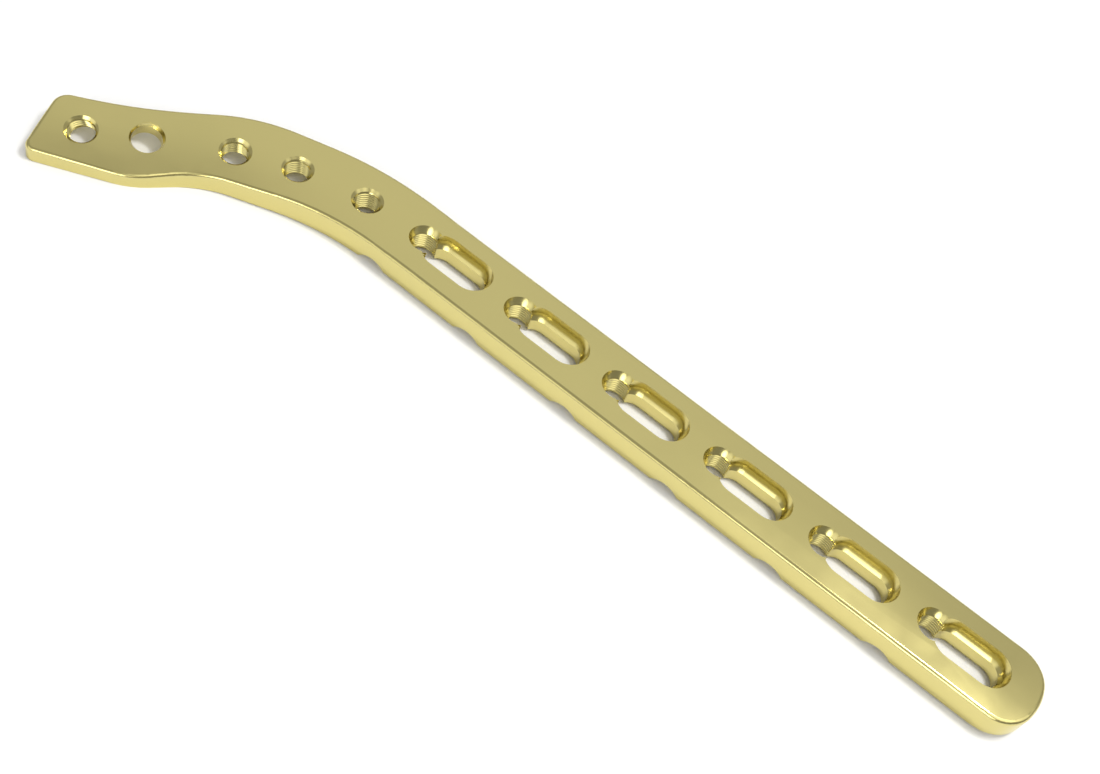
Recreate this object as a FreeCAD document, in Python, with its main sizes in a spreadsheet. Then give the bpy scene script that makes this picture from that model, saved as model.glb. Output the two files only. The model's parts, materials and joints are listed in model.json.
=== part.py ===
import FreeCAD, Part
import Sketcher

import math
import os

from FreeCAD import Placement, Rotation, Vector

# Bone plate for the lower end of an upper arm: one piece of titanium alloy
# The shaft lies along X with its underside on Z = 0, and the head bends away towards -X and -Y.
# The origin is on the underside, on the axis of the threaded bore of the shaft hole nearest the head.

SIZES = [
    # shaft
    ("shaft_width", 13.2, "width over the straight side walls"),
    ("shaft_thickness", 4.25, "thickness on the centre line"),
    ("crown_radius", 58.0, "radius of the domed upper face, across the plate"),
    ("rim_round", 0.65, "round along the upper edge"),
    ("shaft_holes", 6, "number of combination holes"),
    ("hole_pitch", 18.0, "distance between combination holes"),
    # free end of the shaft
    ("end_past_last_bore", 17.0, "from the last threaded bore to the tip of the tail"),
    ("tail_round", 10.8, "radius of the tail in plan"),
    ("tail_corner", 5.2, "radius between the tail and the side walls"),
    ("tail_bevel_run", 6.4, "length of the bevel under the tail"),
    ("tail_bevel_rise", 0.65, "height of the bevel under the tail"),
    # bend, twist and thinning of the head
    ("bend_radius", 57.4, "radius of the centre line in plan"),
    ("bend_angle", 39.4, "turn of the centre line, degrees"),
    ("twist", 0.2, "slope of the head across the plate once it is fully turned"),
    ("twist_length", 36.0, "length over which the twist builds up"),
    ("droop_start", 20.0, "where the head starts to sink"),
    ("droop_slope", 0.035, "fall of the head per length"),
    ("thinning_start", 10.0, "where the head starts to get thinner"),
    ("thinning_end", 48.0, "where it has reached the head thickness"),
    ("head_thickness", 2.35, "thickness of the head"),
    ("underside_stock", 0.25, "left under the shaft's blank and milled off flat"),
    # combination hole
    ("thread_bore_radius", 2.0, "threaded bore"),
    ("thread_seat_radius", 2.8, "ball shaped seat over the threaded bore"),
    ("thread_seat_centre", 1.04, "height of the centre of that seat over the upper face"),
    ("slot_start", 3.3, "first centre of the compression slot, from the bore"),
    ("slot_end", 8.8, "last centre of the compression slot, from the bore"),
    ("slot_radius", 2.34, "half the width of the through slot"),
    ("slot_seat_radius", 3.2, "ball shaped seat along the slot, with its centre in the upper face"),
    # hollow across the underside beside each combination hole
    ("relief_radius", 3.3, "radius of the hollow"),
    ("relief_depth", 0.94, "depth of the hollow"),
    ("relief_before_bore", 4.15, "from the bore back to the middle of the hollow"),
    # head holes
    ("head_bore_radius", 2.05, "threaded head bores"),
    ("head_rim_radius", 2.5, "their countersink at the upper face"),
    ("head_rim_depth", 0.4, "depth of that countersink"),
    ("plain_bore_radius", 2.25, "the head bore with no thread"),
    ("plain_rim_radius", 2.62, "its countersink at the upper face"),
    ("plain_rim_depth", 0.6, "depth of that countersink"),
    # clearances used while cutting
    ("margin", 3.0, "how far cutters and blanks stand past the part"),
]

# Corners of the head in plan: station along the centre line, offset from it (+ is the far side),
# and the reach, which is how far from the corner its round starts and ends
FAR_CORNERS = [
    ("far_shoulder", 29.79, 7.76, 6.293),
    ("far_waist", 45.12, 5.14, 9.4735),
    ("far_tip", 57.4, 6.6, 1.9104),
]
NEAR_CORNERS = [
    ("near_tip", 61.15, -3.85, 1.636),
    ("near_lobe", 45.71, -6.81, 2.734),
    ("near_waist", 35.67, -4.43, 4.575),
]
# The two bends that leave the straight side walls: the corner's distance from the first bore
# and the reach of its round, both as shares of the bend radius
SIDE_BENDS = [
    ("far_bend", 0.206, 0.16966),
    ("near_bend", 0.225, 0.14786),
]

# Head holes: station, offset, lean of the axis towards the tip and towards the far side
HEAD_HOLES = [
    ("hole_1", 53.5, 0.12, 0.2, -0.02),
    ("hole_2", 44.19, 0.0, -0.1, -0.12),
    ("hole_3", 31.54, 0.0, 0.0, 0.0),
    ("hole_4", 22.08, 0.0, 0.0, 0.0),
    ("hole_5", 10.65, 0.0, 0.0, 0.0),
]
PLAIN_HOLE = "hole_2"

os.makedirs("parts", exist_ok=True)
doc = FreeCAD.newDocument("BonePlate")

# Sheet of driving dimensions
sheet = doc.addObject("Spreadsheet::Sheet", "Sizes")
rows = list(SIZES)
for name, station, offset, reach in FAR_CORNERS + NEAR_CORNERS:
    rows.append((name + "_station", station, "head corner, along the centre line"))
    rows.append((name + "_offset", offset, "head corner, across the centre line"))
    rows.append((name + "_reach", reach, "from that corner to where its round starts"))
for name, along, reach in SIDE_BENDS:
    rows.append((name + "_along", along, "corner of the side wall, share of the bend radius"))
    rows.append((name + "_reach", reach, "from that corner to its round, share of the bend radius"))
for name, station, offset, lean_tip, lean_far in HEAD_HOLES:
    rows.append((name + "_station", station, "head hole, along the centre line"))
    rows.append((name + "_offset", offset, "head hole, across the centre line"))
    rows.append((name + "_lean_tip", lean_tip, "lean of its axis towards the tip"))
    rows.append((name + "_lean_far", lean_far, "lean of its axis towards the far side"))
for row, (name, value, note) in enumerate(rows, start=1):
    sheet.set("A%d" % row, name)
    sheet.set("B%d" % row, str(value))
    sheet.set("C%d" % row, note)
    sheet.setAlias("B%d" % row, name)
doc.recompute()


def size(name):
    return float(sheet.get(name))


THICKNESS = size("shaft_thickness")
HALF_WIDTH = size("shaft_width") / 2
MARGIN = size("margin")
BEND = math.radians(size("bend_angle"))
BEND_LENGTH = size("bend_radius") * BEND
LAST_BORE = size("hole_pitch") * (size("shaft_holes") - 1)
TAIL_TIP = LAST_BORE + size("end_past_last_bore")


# The centre line: straight along X up to the first bore, then an arc, then straight to the tip
def heading(station):
    return min(max(station, 0.0) / size("bend_radius"), BEND)


def centre_line(station):
    turn = heading(station)
    radius = size("bend_radius")
    if station < 0:
        return Vector(-station, 0, 0)
    point = Vector(-radius * math.sin(turn), radius * (math.cos(turn) - 1), 0)
    past = max(station - BEND_LENGTH, 0.0)
    return point - Vector(math.cos(turn), math.sin(turn), 0) * past


def far_side(station):
    turn = heading(station)
    return Vector(-math.sin(turn), math.cos(turn), 0)


def plan_point(station, offset):
    return centre_line(station) + far_side(station) * offset


# Twist, droop and thickness of the plate at a station
def roll(station):
    share = min(max(station / size("twist_length"), 0.0), 1.0)
    return math.atan(size("twist") * share)


def droop(station):
    return size("droop_slope") * max(station - size("droop_start"), 0.0)


def section_placement(station):
    """Origin on the upper face's centre line, x across to the far side, y up, z back to the tail."""
    turn = math.degrees(heading(station))
    across_up = Rotation(Vector(0, 1, 0), Vector(0, 0, 1), Vector(1, 0, 0), "ZXY")
    rolled = Rotation(Vector(0, 0, 1), math.degrees(roll(station)))
    base = centre_line(station) + Vector(0, 0, THICKNESS - droop(station))
    return Placement(base, Rotation(Vector(0, 0, 1), turn) * across_up * rolled)


# Body and its sketches
plate = doc.addObject("PartDesign::Body", "bone_plate")
plate.Label = "bone_plate"


def origin_feature(role):
    for feature in plate.Origin.OriginFeatures:
        if feature.Role == role:
            return feature
    raise RuntimeError("no origin feature " + role)


def new_sketch(name, role, placement=None):
    """A sketch on an origin plane, moved off it to the given placement."""
    sketch = plate.newObject("Sketcher::SketchObject", name)
    plane = origin_feature(role)
    sketch.AttachmentSupport = [(plane, "")]
    sketch.MapMode = "FlatFace"
    if placement is not None:
        doc.recompute()
        on_plane = sketch.Placement
        sketch.AttachmentOffset = on_plane.inverse() * placement
    return sketch


def draw_loop(sketch, edges):
    """Add a closed run of lines and arcs and tie each end to the next start."""
    first = sketch.GeometryCount
    ends = []
    for start, middle, stop in edges:
        if middle is None:
            index = sketch.addGeometry(Part.LineSegment(start, stop), False)
            ends.append((index, 1, 2))
        else:
            arc = Part.Arc(start, middle, stop)
            index = sketch.addGeometry(arc, False)
            turns_left = (middle - start).cross(stop - middle).z > 0
            ends.append((index, 1, 2) if turns_left else (index, 2, 1))
    for here, there in zip(ends, ends[1:] + ends[:1]):
        sketch.addConstraint(Sketcher.Constraint("Coincident", here[0], here[2], there[0], there[1]))
    return first


def line(start, stop):
    return (start, None, stop)


def bind(sketch, kind, refs, value, formula):
    """A dimension of the sketch that follows the sheet."""
    index = sketch.addConstraint(Sketcher.Constraint(kind, *refs, value))
    sketch.setExpression("Constraints[%d]" % index, formula)


def add(kind, name):
    return plate.newObject("PartDesign::" + kind, name)


def solid_volume(feature):
    doc.recompute()
    bad = [item.Label for item in doc.Objects if "Invalid" in item.State or "Error" in item.State]
    if bad or feature.Shape.isNull() or not feature.Shape.isValid():
        raise RuntimeError("%s did not build, failed objects: %s" % (feature.Label, bad))
    return feature.Shape.Volume


def must_cut(feature, before):
    after = solid_volume(feature)
    if after >= before:
        raise RuntimeError(feature.Label + " cuts nothing")
    return after


# Blank: a slab with a domed upper face, wider than the plate, drawn as cross sections
SLAB_HALF = HALF_WIDTH + MARGIN


def slab_section(name, station):
    sketch = new_sketch(name, "YZ_Plane", section_placement(station))
    crown = size("crown_radius")
    sag = crown - math.sqrt(crown ** 2 - SLAB_HALF ** 2)
    share = (station - size("thinning_start")) / (size("thinning_end") - size("thinning_start"))
    share = min(max(share, 0.0), 1.0)
    stock = size("underside_stock") if station < 0 else 0.0
    depth = THICKNESS + stock + (size("head_thickness") - THICKNESS) * share
    top_far = Vector(SLAB_HALF, -sag, 0)
    top_near = Vector(-SLAB_HALF, -sag, 0)
    low_far = Vector(SLAB_HALF, -depth, 0)
    low_near = Vector(-SLAB_HALF, -depth, 0)
    first = draw_loop(sketch, [
        line(low_near, low_far),
        line(low_far, top_far),
        (top_far, Vector(0, 0, 0), top_near),
        line(top_near, low_near),
    ])
    sketch.addConstraint(Sketcher.Constraint("Vertical", first + 1))
    sketch.addConstraint(Sketcher.Constraint("Vertical", first + 3))
    sketch.addConstraint(Sketcher.Constraint("Symmetric", first, 1, first, 2, -2))
    sketch.addConstraint(Sketcher.Constraint("PointOnObject", first + 2, 3, -2))
    bind(sketch, "Radius", (first + 2,), crown, "Sizes.crown_radius")
    bind(sketch, "DistanceX", (first, 1, first, 2), 2 * SLAB_HALF, "Sizes.shaft_width + 2 * Sizes.margin")
    bind(sketch, "DistanceY", (first + 2, 3, -1, 1), crown, "Sizes.crown_radius")
    thinned = "Sizes.shaft_thickness + (Sizes.head_thickness - Sizes.shaft_thickness) * %.6f" % share
    if stock:
        thinned += " + Sizes.underside_stock"
    bind(sketch, "DistanceY", (first, 1, -1, 1), depth, thinned)
    return sketch


# The sections are half a hole pitch apart, from past the tail to past the tip of the head
past_the_head = size("near_tip_station") + MARGIN
stations = [-TAIL_TIP - MARGIN]
while stations[-1] < past_the_head:
    stations.append(stations[-1] + size("hole_pitch") / 2)

profiles = [slab_section("profile_%d" % k, station) for k, station in enumerate(stations)]
blank = add("AdditiveLoft", "blank")
blank.Profile = profiles[0]
blank.Sections = profiles[1:]
volume = solid_volume(blank)


# Plan outline: the blank is cut away outside it, which leaves upright side walls
def rounded_run(corners):
    """Lines and arcs through a row of (point, reach); the two ends of the row have no round."""
    edges = []
    here = corners[0][0]
    for (before, _), (corner, reach), (after, _) in zip(corners, corners[1:], corners[2:]):
        back = (before - corner).normalize()
        ahead = (after - corner).normalize()
        half = back.getAngle(ahead) / 2
        start = corner + back * reach
        stop = corner + ahead * reach
        to_middle = reach / math.cos(half) - reach * math.tan(half)
        middle = corner + (back + ahead).normalize() * to_middle
        edges.append(line(here, start))
        edges.append((start, middle, stop))
        here = stop
    edges.append(line(here, corners[-1][0]))
    return edges


def head_corner(name):
    return (plan_point(size(name + "_station"), size(name + "_offset")), size(name + "_reach"))


def bend_corner(name, side):
    corner = Vector(-size(name + "_along") * size("bend_radius"), side * HALF_WIDTH, 0)
    return (corner, size(name + "_reach") * size("bend_radius"))


tail_centre = TAIL_TIP - size("tail_round")
corner_y = HALF_WIDTH - size("tail_corner")
between = size("tail_round") - size("tail_corner")
corner_x = tail_centre + math.sqrt(between ** 2 - corner_y ** 2)
join_angle = math.atan2(corner_y, corner_x - tail_centre)


def tail_point(side, angle):
    """A point of the tail's two radii at an angle from the plate's axis."""
    if angle <= join_angle:
        base = Vector(tail_centre, 0, 0)
        radius = size("tail_round")
    else:
        base = Vector(corner_x, side * corner_y, 0)
        radius = size("tail_corner")
    return base + Vector(math.cos(angle), side * math.sin(angle), 0) * radius


far_shaft_end = Vector(corner_x, HALF_WIDTH, 0)
near_shaft_end = Vector(corner_x, -HALF_WIDTH, 0)
far_join = tail_point(1, join_angle)
near_join = tail_point(-1, join_angle)
half_corner = (math.pi / 2 + join_angle) / 2
outline = rounded_run(
    [(far_shaft_end, 0), bend_corner("far_bend", 1)]
    + [head_corner(name) for name, *_ in FAR_CORNERS + NEAR_CORNERS]
    + [bend_corner("near_bend", -1), (near_shaft_end, 0)]
)
outline += [
    (near_shaft_end, tail_point(-1, half_corner), near_join),
    (near_join, Vector(TAIL_TIP, 0, 0), far_join),
    (far_join, tail_point(1, half_corner), far_shaft_end),
]

trim_sketch = new_sketch("plan_outline", "XY_Plane")
outer_left = Vector(-size("bend_radius") - 8 * MARGIN, HALF_WIDTH + 4 * MARGIN, 0)
outer_right = Vector(TAIL_TIP + 4 * MARGIN, outer_left.y, 0)
low_right = Vector(outer_right.x, -size("bend_radius"), 0)
low_left = Vector(outer_left.x, -size("bend_radius"), 0)
draw_loop(trim_sketch, [
    line(outer_left, outer_right),
    line(outer_right, low_right),
    line(low_right, low_left),
    line(low_left, outer_left),
])
first = draw_loop(trim_sketch, outline)
far_bend, near_bend = ["Sizes.bend_radius * Sizes.%s_reach" % name for name, *_ in SIDE_BENDS]
head_corners = ["Sizes.%s_reach" % name for name, *_ in FAR_CORNERS + NEAR_CORNERS]
for k, reach in enumerate([far_bend] + head_corners + [near_bend]):
    start, middle, stop = outline[2 * k + 1]
    half_turn = 2 * (middle - start).getAngle(stop - start)
    radius = (stop - start).Length / (2 * math.sin(half_turn))
    formula = "%s / %.8f" % (reach, math.tan(half_turn))
    bind(trim_sketch, "Radius", (first + 2 * k + 1,), radius, formula)

trim = add("Pocket", "side_walls")
trim.Profile = trim_sketch
trim.Type = "ThroughAll"
trim.SideType = "Symmetric"
volume = must_cut(trim, volume)

# Round along the whole upper edge
rim_edges = []
for k, edge in enumerate(trim.Shape.Edges, start=1):
    sides = trim.Shape.ancestorsOfType(edge, Part.Face)
    rises = []
    for face in sides:
        u, v = face.Surface.parameter(edge.valueAt((edge.FirstParameter + edge.LastParameter) / 2))
        rises.append(face.normalAt(u, v).z)
    if len(rises) == 2 and max(rises) > 0.7 and min(rises, key=abs) < 0.2:
        rim_edges.append("Edge%d" % k)
rim = add("Fillet", "upper_rim")
rim.Base = (trim, rim_edges)
rim.setExpression("Radius", "Sizes.rim_round")
volume = must_cut(rim, volume)

# The shaft's underside is milled flat, from the middle of the first hollow to the tail
flat_sketch = new_sketch("underside_profile", "XZ_Plane")
flat_start = Vector(-size("relief_before_bore"), 0, 0)
flat_end = Vector(TAIL_TIP + MARGIN, 0, 0)
flat_drop = Vector(0, -MARGIN, 0)
draw_loop(flat_sketch, [
    line(flat_start, flat_start + flat_drop),
    line(flat_start + flat_drop, flat_end + flat_drop),
    line(flat_end + flat_drop, flat_end),
    line(flat_end, flat_start),
])
flat = add("Pocket", "flat_underside")
flat.Profile = flat_sketch
flat.Type = "ThroughAll"
flat.SideType = "Symmetric"
volume = must_cut(flat, volume)

# Bevel under the tail, so that the tip stands a little off the bone
bevel_sketch = new_sketch("tail_bevel_profile", "XZ_Plane")
bevel_start = Vector(TAIL_TIP - size("tail_bevel_run"), 0, 0)
bevel_slope = size("tail_bevel_rise") / size("tail_bevel_run")
bevel_high = Vector(TAIL_TIP + MARGIN, bevel_slope * (size("tail_bevel_run") + MARGIN), 0)
bevel_low_end = Vector(bevel_high.x, -MARGIN, 0)
bevel_low_start = Vector(bevel_start.x, -MARGIN, 0)
draw_loop(bevel_sketch, [
    line(bevel_start, bevel_low_start),
    line(bevel_low_start, bevel_low_end),
    line(bevel_low_end, bevel_high),
    line(bevel_high, bevel_start),
])
bevel = add("Pocket", "tail_bevel")
bevel.Profile = bevel_sketch
bevel.Type = "ThroughAll"
bevel.SideType = "Symmetric"
volume = must_cut(bevel, volume)


# Combination hole: a threaded bore with a ball seat, opening into a compression slot with its own seat
def bore_groove(name, placement, points):
    """A groove turned about the placement's y axis.

    Each point is ((radius, height), bulge): the edge to the next point is an arc through the bulge,
    or straight where that is None.
    """
    sketch = new_sketch(name + "_profile", "XZ_Plane", placement)
    edges = []
    for start, stop in zip(points, points[1:] + points[:1]):
        edges.append((Vector(*start[0]), Vector(*start[1]) if start[1] else None, Vector(*stop[0])))
    draw_loop(sketch, edges)
    groove = add("Groove", name)
    groove.Profile = sketch
    groove.ReferenceAxis = (sketch, ["V_Axis"])
    groove.Angle = 360.0
    return groove


upright = Rotation(Vector(1, 0, 0), 90)
on_upper_face = Placement(Vector(0, 0, THICKNESS), upright)
slot_seat = size("slot_seat_radius")
slot_start = size("slot_start")
slot_end = size("slot_end")
eighth = math.sqrt(0.5) * slot_seat
ball_profile = [
    ((0, MARGIN), None),
    ((slot_seat, MARGIN), None),
    ((slot_seat, 0), (eighth, -eighth)),
    ((0, -slot_seat), None),
]
seat_cuts = []
for name, centre in (("slot_seat_start", slot_start), ("slot_seat_end", slot_end)):
    seat_cuts.append(bore_groove(name, Placement(Vector(centre, 0, THICKNESS), upright), ball_profile))
    volume = must_cut(seat_cuts[-1], volume)

across = Rotation(Vector(0, 1, 0), Vector(0, 0, 1), Vector(1, 0, 0), "ZXY")
run_sketch = new_sketch("slot_seat_profile", "YZ_Plane", Placement(Vector(slot_start, 0, THICKNESS), across))
draw_loop(run_sketch, [
    line(Vector(slot_seat, 0, 0), Vector(slot_seat, MARGIN, 0)),
    line(Vector(slot_seat, MARGIN, 0), Vector(-slot_seat, MARGIN, 0)),
    line(Vector(-slot_seat, MARGIN, 0), Vector(-slot_seat, 0, 0)),
    (Vector(-slot_seat, 0, 0), Vector(0, -slot_seat, 0), Vector(slot_seat, 0, 0)),
])
run_cut = add("Pocket", "slot_seat_run")
run_cut.Profile = run_sketch
run_cut.Reversed = True
run_cut.setExpression("Length", "Sizes.slot_end - Sizes.slot_start")
seat_cuts.append(run_cut)
volume = must_cut(run_cut, volume)

slot = size("slot_radius")
slot_sketch = new_sketch("slot_outline", "XY_Plane")
first = draw_loop(slot_sketch, [
    line(Vector(slot_start, -slot, 0), Vector(slot_end, -slot, 0)),
    (Vector(slot_end, -slot, 0), Vector(slot_end + slot, 0, 0), Vector(slot_end, slot, 0)),
    line(Vector(slot_end, slot, 0), Vector(slot_start, slot, 0)),
    (Vector(slot_start, slot, 0), Vector(slot_start - slot, 0, 0), Vector(slot_start, -slot, 0)),
])
for arc in (first + 1, first + 3):
    slot_sketch.addConstraint(Sketcher.Constraint("PointOnObject", arc, 3, -1))
    slot_sketch.addConstraint(Sketcher.Constraint("Vertical", arc, 3, arc, 1))
    slot_sketch.addConstraint(Sketcher.Constraint("Vertical", arc, 3, arc, 2))
slot_sketch.addConstraint(Sketcher.Constraint("Equal", first + 1, first + 3))
bind(slot_sketch, "Radius", (first + 1,), slot, "Sizes.slot_radius")
bind(slot_sketch, "DistanceX", (-1, 1, first + 3, 3), slot_start, "Sizes.slot_start")
bind(slot_sketch, "DistanceX", (-1, 1, first + 1, 3), slot_end, "Sizes.slot_end")
slot_cut = add("Pocket", "slot")
slot_cut.Profile = slot_sketch
slot_cut.Type = "ThroughAll"
slot_cut.SideType = "Symmetric"
volume = must_cut(slot_cut, volume)

seat = size("thread_seat_radius")
seat_centre = size("thread_seat_centre")
bore = size("thread_bore_radius")
seat_foot = seat_centre - math.sqrt(seat ** 2 - bore ** 2)
seat_turn = (math.acos(bore / seat)) / 2
below = -THICKNESS - MARGIN
bore_cut = bore_groove("thread_bore", on_upper_face, [
    ((0, seat_centre + MARGIN), None),
    ((seat, seat_centre + MARGIN), None),
    ((seat, seat_centre), (seat * math.cos(seat_turn), seat_centre - seat * math.sin(seat_turn))),
    ((bore, seat_foot), None),
    ((bore, below), None),
    ((0, below), None),
])
volume = must_cut(bore_cut, volume)

# Hollow across the underside, towards the head from each combination hole
relief = size("relief_radius")
relief_sketch = new_sketch("relief_profile", "XZ_Plane")
relief_centre = Vector(-size("relief_before_bore"), size("relief_depth") - relief, 0)
relief_sketch.addGeometry(Part.Circle(relief_centre, Vector(0, 0, 1), relief), False)
bind(relief_sketch, "Radius", (0,), relief, "Sizes.relief_radius")
bind(relief_sketch, "DistanceX", (0, 3, -1, 1), -relief_centre.x, "Sizes.relief_before_bore")
bind(relief_sketch, "DistanceY", (0, 3, -1, 1), -relief_centre.y,
     "Sizes.relief_radius - Sizes.relief_depth")
relief_cut = add("Pocket", "relief")
relief_cut.Profile = relief_sketch
relief_cut.Type = "ThroughAll"
relief_cut.SideType = "Symmetric"
volume = must_cut(relief_cut, volume)

shaft_pattern = add("LinearPattern", "shaft_holes")
shaft_pattern.Originals = seat_cuts + [slot_cut, bore_cut, relief_cut]
shaft_pattern.Direction = (origin_feature("X_Axis"), [""])
shaft_pattern.Mode = "Extent"
shaft_pattern.setExpression("Length", "Sizes.hole_pitch * (Sizes.shaft_holes - 1)")
shaft_pattern.setExpression("Occurrences", "Sizes.shaft_holes")
plate.Tip = shaft_pattern
volume = must_cut(shaft_pattern, volume)


# Head holes: a countersink square to the upper face, and a bore that may lean out of square
def hole_placement(name, lean_tip, lean_far):
    """Origin on the upper face, y out of the face along the axis."""
    station = size(name + "_station")
    offset = size(name + "_offset")
    face = section_placement(station)
    crown = size("crown_radius")
    sag = crown - math.sqrt(crown ** 2 - offset ** 2)
    base = face.multVec(Vector(offset, -sag, 0))
    towards_tip = face.Rotation.multVec(Vector(0, 0, -1))
    to_far_side = face.Rotation.multVec(Vector(1, 0, 0))
    square = face.Rotation.multVec(Vector(offset / crown, 1, 0))
    axis = square + towards_tip * lean_tip + to_far_side * lean_far
    radial = to_far_side - axis * (to_far_side.dot(axis) / axis.dot(axis))
    return Placement(base, Rotation(radial, axis, Vector(0, 0, 0), "YXZ"))


for name, *_ in HEAD_HOLES:
    kind = "plain" if name == PLAIN_HOLE else "head"
    bore = size(kind + "_bore_radius")
    rim_radius = size(kind + "_rim_radius")
    rim_cut = bore_groove("rim_" + name, hole_placement(name, 0, 0), [
        ((0, MARGIN), None),
        ((rim_radius, MARGIN), None),
        ((rim_radius, 0), None),
        ((bore, -size(kind + "_rim_depth")), None),
        ((0, -size(kind + "_rim_depth")), None),
    ])
    volume = must_cut(rim_cut, volume)
    leaning = hole_placement(name, size(name + "_lean_tip"), size(name + "_lean_far"))
    bore_cut = bore_groove("bore_" + name, leaning, [
        ((0, MARGIN), None),
        ((bore, MARGIN), None),
        ((bore, below), None),
        ((0, below), None),
    ])
    volume = must_cut(bore_cut, volume)

plate.Tip = bore_cut
plate.Placement = Placement(Vector(0, 0, 0), Rotation())

# Check and write
solid_volume(plate)
if len(plate.Shape.Solids) != 1:
    raise RuntimeError("the plate is not one solid")
print("bone_plate: volume %.1f mm3, %d faces" % (plate.Shape.Volume, len(plate.Shape.Faces)))
plate.Shape.exportStep("parts/bone_plate.step")
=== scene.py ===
import json
import math

import bpy
from mathutils import Matrix, Vector


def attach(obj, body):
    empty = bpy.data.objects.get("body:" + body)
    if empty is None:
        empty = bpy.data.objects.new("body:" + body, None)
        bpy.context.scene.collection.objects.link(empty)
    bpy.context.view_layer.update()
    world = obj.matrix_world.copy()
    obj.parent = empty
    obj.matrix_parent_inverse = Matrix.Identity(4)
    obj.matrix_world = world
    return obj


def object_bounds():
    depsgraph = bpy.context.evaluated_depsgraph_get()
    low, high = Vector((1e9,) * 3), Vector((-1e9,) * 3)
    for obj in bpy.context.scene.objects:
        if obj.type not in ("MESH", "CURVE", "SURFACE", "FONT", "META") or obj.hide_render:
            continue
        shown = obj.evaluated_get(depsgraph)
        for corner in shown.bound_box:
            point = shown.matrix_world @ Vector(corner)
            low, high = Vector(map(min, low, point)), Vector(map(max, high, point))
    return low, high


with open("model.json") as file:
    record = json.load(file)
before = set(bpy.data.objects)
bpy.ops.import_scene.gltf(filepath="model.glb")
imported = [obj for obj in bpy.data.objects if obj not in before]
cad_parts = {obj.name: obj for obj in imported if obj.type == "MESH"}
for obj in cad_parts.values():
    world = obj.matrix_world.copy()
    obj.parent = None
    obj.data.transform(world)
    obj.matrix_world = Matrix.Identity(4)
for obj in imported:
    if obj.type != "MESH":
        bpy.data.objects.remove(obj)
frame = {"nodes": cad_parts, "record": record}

# The CAD model's box, taken before anything is added
cad_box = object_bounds()


# The plate: milled from one bar of titanium alloy, blasted to an even satin and then anodised.
# The thin oxide film tints what the metal reflects to a pale, slightly green gold.
MM = 0.001
WARM_FILM = "DCCF8A"
GREEN_FILM = "D6CB87"
# Widths of the film's patches, of the areas that handling has rubbed, and of the blasted pits
FILM_PATCH = 50 / 3 * MM
RUBBED_AREA = 100 / 11 * MM
PIT = 1 / 9 * MM
# Sockets of Blender's colour mix node, by number because several share a name
MIX_FACTOR, MIX_FIRST, MIX_SECOND = 0, 6, 7
MIX_RESULT = 2


def linear(text):
    """An sRGB colour of six hex digits, as linear RGBA."""
    channels = [int(text[k:k + 2], 16) / 255 for k in (0, 2, 4)]
    return [c / 12.92 if c <= 0.04045 else ((c + 0.055) / 1.055) ** 2.4 for c in channels] + [1.0]


def node(tree, kind, settings=None, inputs=None):
    """Adds a node: settings are its attributes, inputs are values or output sockets to link."""
    made = tree.nodes.new(kind)
    for name, value in (settings or {}).items():
        setattr(made, name, value)
    for name, value in (inputs or {}).items():
        if isinstance(value, bpy.types.NodeSocket):
            tree.links.new(value, made.inputs[name])
        else:
            made.inputs[name].default_value = value
    return made


def new_material(name):
    """A material that has no nodes yet."""
    made = bpy.data.materials.new(name)
    made.use_nodes = True
    made.node_tree.nodes.clear()
    return made


def gold_titanium(name, smoothest, roughest, pit_depth):
    """Gold anodised titanium between two roughnesses; the depth of its pits is in metres."""
    made = new_material(name)
    tree = made.node_tree
    place = node(tree, "ShaderNodeTexCoord").outputs["Object"]
    # The oxide is a little thicker here and there: broad, faint patches of warmer and greener gold
    film = node(tree, "ShaderNodeTexNoise", None, {
        "Vector": place, "Scale": 1 / FILM_PATCH, "Detail": 2.0,
    })
    colour = node(tree, "ShaderNodeMix", {"data_type": "RGBA"}, {
        MIX_FACTOR: film.outputs["Fac"],
        MIX_FIRST: linear(WARM_FILM), MIX_SECOND: linear(GREEN_FILM),
    })
    # The blasting leaves fine pits. They are drawn about a tenth of a millimetre across, coarser
    # than the real ones, which would be too fine to show
    pits = node(tree, "ShaderNodeTexNoise", None, {
        "Vector": place, "Scale": 1 / PIT, "Detail": 3.0, "Roughness": 0.6,
    })
    relief = node(tree, "ShaderNodeBump", None, {"Height": pits.outputs["Fac"], "Distance": pit_depth})
    # Handling has burnished it unevenly, so its gleam is a little sharper in some places
    rubbed = node(tree, "ShaderNodeTexNoise", None, {
        "Vector": place, "Scale": 1 / RUBBED_AREA, "Detail": 3.0,
    })
    gloss = node(tree, "ShaderNodeMapRange", None, {
        "Value": rubbed.outputs["Fac"], "From Min": 0.3, "From Max": 0.7,
        "To Min": smoothest, "To Max": roughest,
    })
    surface = node(tree, "ShaderNodeBsdfPrincipled", None, {
        "Base Color": colour.outputs[MIX_RESULT], "Metallic": 1.0,
        "Roughness": gloss.outputs["Result"], "Normal": relief.outputs["Normal"],
    })
    node(tree, "ShaderNodeOutputMaterial", None, {"Surface": surface.outputs["BSDF"]})
    return made


satin_gold = gold_titanium(
    "titanium, blasted satin, anodised gold", smoothest=0.17, roughest=0.23, pit_depth=0.0004 * MM,
)
plate = frame["nodes"]["bone_plate"]
plate.data.materials.clear()
plate.data.materials.append(satin_gold)


# The screw threads of the locking bores: one helical ridge in each, cut with the bore and anodised
# with the plate. The blasting doesn't reach into them, so they keep a brighter cut surface.
PITCH = 0.45 * MM
RIDGE = 0.14 * MM
# One pitch of the ridge: shares of the pitch and of the ridge's height
RIDGE_PROFILE = [(0.0, 0.0), (0.3, 0.0), (0.54, 1.0), (0.76, 1.0), (0.96, 0.0)]
# Ridge and foot stand this far off the bore's wall, so that the wall doesn't show through them
FOOT_GAP = 0.004 * MM
# The ridge fades over this height at the wall's two edges, and over so many degrees beside a slot
RUN_OUT = 0.2 * MM
SLOT_FADE = 9
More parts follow.
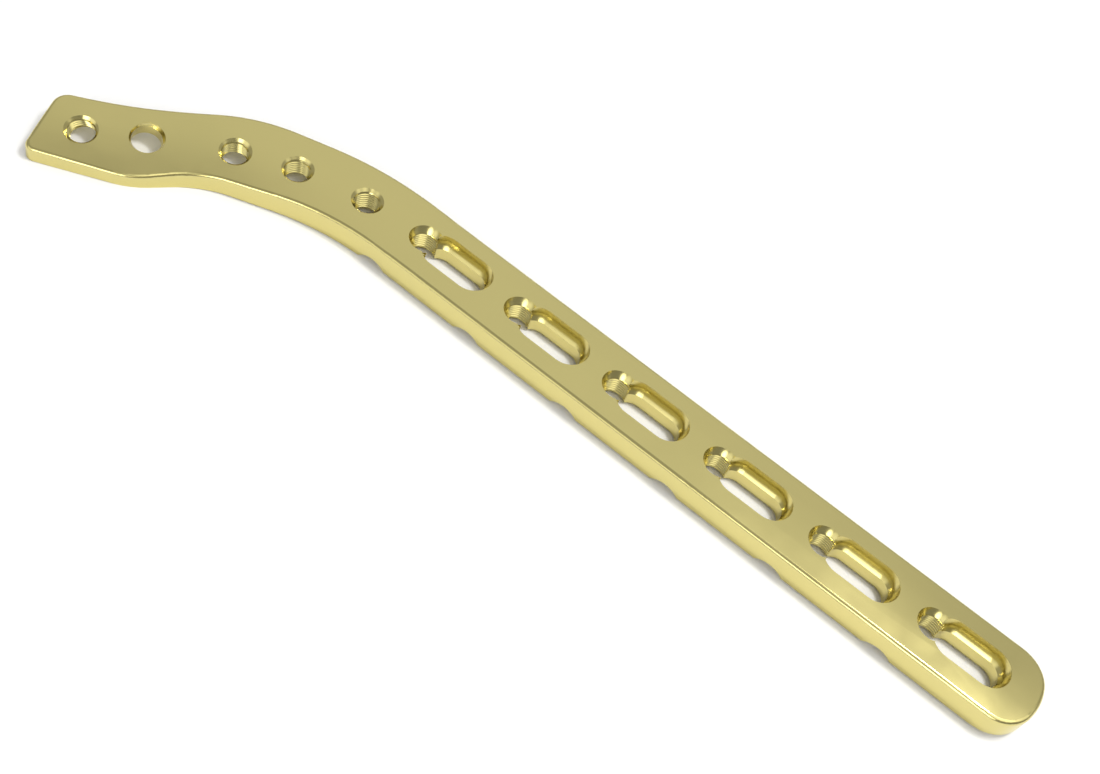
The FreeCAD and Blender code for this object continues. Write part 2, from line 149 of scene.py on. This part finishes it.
# Degrees from one column of points to the next, and from which an edge of the ridge is sharp
COLUMN_STEP = 3
SHARP_EDGE = 35
WHOLE_TURN = 360.0
# More turns than the wall's height takes, because the helix climbs and a wall's ends can slant
SPARE_TURNS = 2
cut_gold = gold_titanium(
    "titanium, cut thread, anodised gold", smoothest=0.13, roughest=0.18, pit_depth=0.0002 * MM,
)


def thread(name, centre, axis, radius, top, bottom, face, start=0.0, arc=WHOLE_TURN):
    """A ridge on a bore's wall. Top and bottom are heights along the face's normal. Start and arc
    are in degrees, counted round the axis from the X side."""
    x_side = (Vector((1, 0, 0)) - axis * axis.x).normalized()
    y_side = axis.cross(x_side)
    closed = arc == WHOLE_TURN
    columns = round(arc / COLUMN_STEP) + (0 if closed else 1)
    turns = range(-SPARE_TURNS, int((top - bottom) / PITCH) + 2 * SPARE_TURNS)
    verts = []
    for column in range(columns):
        degrees = start + COLUMN_STEP * column
        angle = math.radians(degrees)
        outward = x_side * math.cos(angle) + y_side * math.sin(angle)
        foot = centre + outward * radius
        high = (top - foot.dot(face)) / axis.dot(face)
        low = (bottom - foot.dot(face)) / axis.dot(face)
        from_slot = min(degrees - start, start + arc - degrees)
        whole = 1.0 if closed else min(from_slot / SLOT_FADE, 1.0)
        for turn in turns:
            for share, height in RIDGE_PROFILE:
                along = high - (turn + share - degrees / WHOLE_TURN) * PITCH
                along = min(max(along, low), high)
                fade = min((high - along) / RUN_OUT, (along - low) / RUN_OUT, 1.0) * whole
                verts.append(foot + axis * along - outward * (height * fade * RIDGE + FOOT_GAP))
    rows = len(turns) * len(RIDGE_PROFILE)
    faces = []
    for column in range(columns if closed else columns - 1):
        here = column * rows
        there = (column + 1) % columns * rows
        for row in range(rows - 1):
            faces.append((here + row, here + row + 1, there + row + 1, there + row))
    mesh = bpy.data.meshes.new(name)
    mesh.from_pydata(verts, [], faces)
    mesh.validate()
    mesh.materials.append(cut_gold)
    for polygon in mesh.polygons:
        polygon.use_smooth = True
    mesh.set_sharp_from_angle(angle=math.radians(SHARP_EDGE))
    made = bpy.data.objects.new(name, mesh)
    bpy.context.collection.objects.link(made)
    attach(made, "root")


# The bores are where the record's mounts are. A shaft bore's wall goes from the flat underside up
# to its ball shaped seat, and the slot beside it leaves it this start and arc, in degrees.
SHAFT_BORE = 2.0 * MM
UNDERSIDE = 0.0
SEAT_FOOT = 3.33 * MM
SHAFT_ARC = (44.5, 271.0)
# A head bore's wall ends parallel to the face around it. Each has that face's normal, or None
# where the face is square to the bore, and half the wall's height. The first bore leans
HEAD_BORE = 2.05 * MM
HEAD_WALLS = {
    "head_hole_1": ((0.1245, -0.1515, 0.9806), 0.96 * MM),
    "head_hole_3": (None, 1.28 * MM),
    "head_hole_4": (None, 1.55 * MM),
    "head_hole_5": (None, 1.82 * MM),
}
for mount in frame["record"]["mounts"]:
    name = mount["name"]
    centre = Vector(mount["pos_m"])
    axis = Vector(mount["axis"]).normalized()
    if name.startswith("shaft_thread"):
        thread(name, centre, axis, SHAFT_BORE, SEAT_FOOT, UNDERSIDE, axis, *SHAFT_ARC)
    elif name in HEAD_WALLS:
        normal, half_height = HEAD_WALLS[name]
        face = Vector(normal or axis).normalized()
        middle = centre.dot(face)
        thread(name, centre, axis, HEAD_BORE, middle + half_height, middle - half_height, face)


# Studio: a matt white table, a grey dome with soft brighter regions and one soft key lamp, high
# on the right, whose shadow falls to the left as in the photograph.
PLATE_MIDDLE = Vector((0.02, 0, 0))
TABLE_SIDE = 3.0
table_top = cad_box[0][2]
table_paper = new_material("paper, matt white")
paper = node(table_paper.node_tree, "ShaderNodeBsdfDiffuse", None, {"Color": linear("FCFCFC")})
node(table_paper.node_tree, "ShaderNodeOutputMaterial", None, {"Surface": paper.outputs["BSDF"]})
bpy.ops.mesh.primitive_plane_add(size=TABLE_SIDE, location=(PLATE_MIDDLE.x, 0, table_top))
table = bpy.context.object
table.name = "table"
table.data.materials.append(table_paper)

# The dome: an even grey with soft regions. Each has its azimuth and elevation, its half width where
# it starts and where it is full, all in degrees, and what it adds to the brightness
DOME_GREY = 0.4
DOME_REGIONS = (
    (120, 47, 44, 5, 0.34),  # mirrored by the top face, less so towards the tail
    (22, 46, 22, 8, 0.75),  # a gleam on the round of the tail
    (-20, 60, 26, 10, 1.2),  # light on the left part of each thread
    (-76, 27, 20, 3, 3.4),  # the bright line along the near rim of the head
    (-112, 24, 26, 3, 0.80),  # a line along the near rim of the shaft
    (-30, 10, 50, 20, -0.12),  # darker at the front right
)


def direction(azimuth, elevation):
    """Unit vector; azimuth 0 is the +X side and 90 the +Y side, in degrees."""
    around = math.radians(azimuth)
    rise = math.radians(elevation)
    return Vector((
        math.cos(around) * math.cos(rise), math.sin(around) * math.cos(rise), math.sin(rise),
    ))


world = bpy.data.worlds.new("studio")
bpy.context.scene.world = world
world.use_nodes = True
dome = world.node_tree
dome.nodes.clear()
brightness = DOME_GREY
for azimuth, elevation, outer, inner, change in DOME_REGIONS:
    towards = node(dome, "ShaderNodeVectorMath", {"operation": "DOT_PRODUCT"}, {
        0: node(dome, "ShaderNodeTexCoord").outputs["Generated"], 1: direction(azimuth, elevation),
    })
    region = node(dome, "ShaderNodeMapRange", {"interpolation_type": "SMOOTHSTEP"}, {
        "Value": towards.outputs["Value"], "From Min": math.cos(math.radians(outer)),
        "From Max": math.cos(math.radians(inner)), "To Min": 0.0, "To Max": change,
    })
    brightness = node(dome, "ShaderNodeMath", {"operation": "ADD"}, {
        0: brightness, 1: region.outputs["Result"],
    }).outputs["Value"]
glow = node(dome, "ShaderNodeBackground", None, {"Color": linear("FFFFFF"), "Strength": brightness})
node(dome, "ShaderNodeOutputWorld", None, {"Surface": glow.outputs["Background"]})

# The key lamp: a soft square panel half a metre from the plate, facing it
KEY_TOWARDS = direction(azimuth=34, elevation=69)
KEY_DISTANCE = 0.5
KEY_SIDE = 0.105
KEY_WATTS = 1.16
key = bpy.data.lights.new("key", "AREA")
key.shape = "SQUARE"
key.size = KEY_SIDE
key.energy = KEY_WATTS
key_place = bpy.data.objects.new("key", key)
bpy.context.collection.objects.link(key_place)
key_place.location = KEY_TOWARDS * KEY_DISTANCE + PLATE_MIDDLE
key_place.rotation_euler = (-KEY_TOWARDS).to_track_quat("-Z", "Y").to_euler()

# Camera of the photograph, solved from the plate's equal holes and straight edges: its place, and
# what is to its right, down and ahead
camera = bpy.data.cameras.new("camera")
camera.sensor_width = 36.0
camera.lens = 45.564
camera.clip_start = 0.01
view = bpy.data.objects.new("camera", camera)
bpy.context.collection.objects.link(view)
view_place = Vector((0.0659084, -0.1248112, 0.1551971))
right = Vector((0.778956, 0.57318, 0.254346))
down = Vector((0.597921, -0.556654, -0.576739))
ahead = Vector((-0.188993, 0.601333, -0.776325))
facing = Matrix((right, -down, -ahead)).transposed().to_4x4()
view.matrix_world = Matrix.Translation(view_place) @ facing
bpy.context.scene.camera = view
bpy.context.scene.view_settings.view_transform = "Standard"
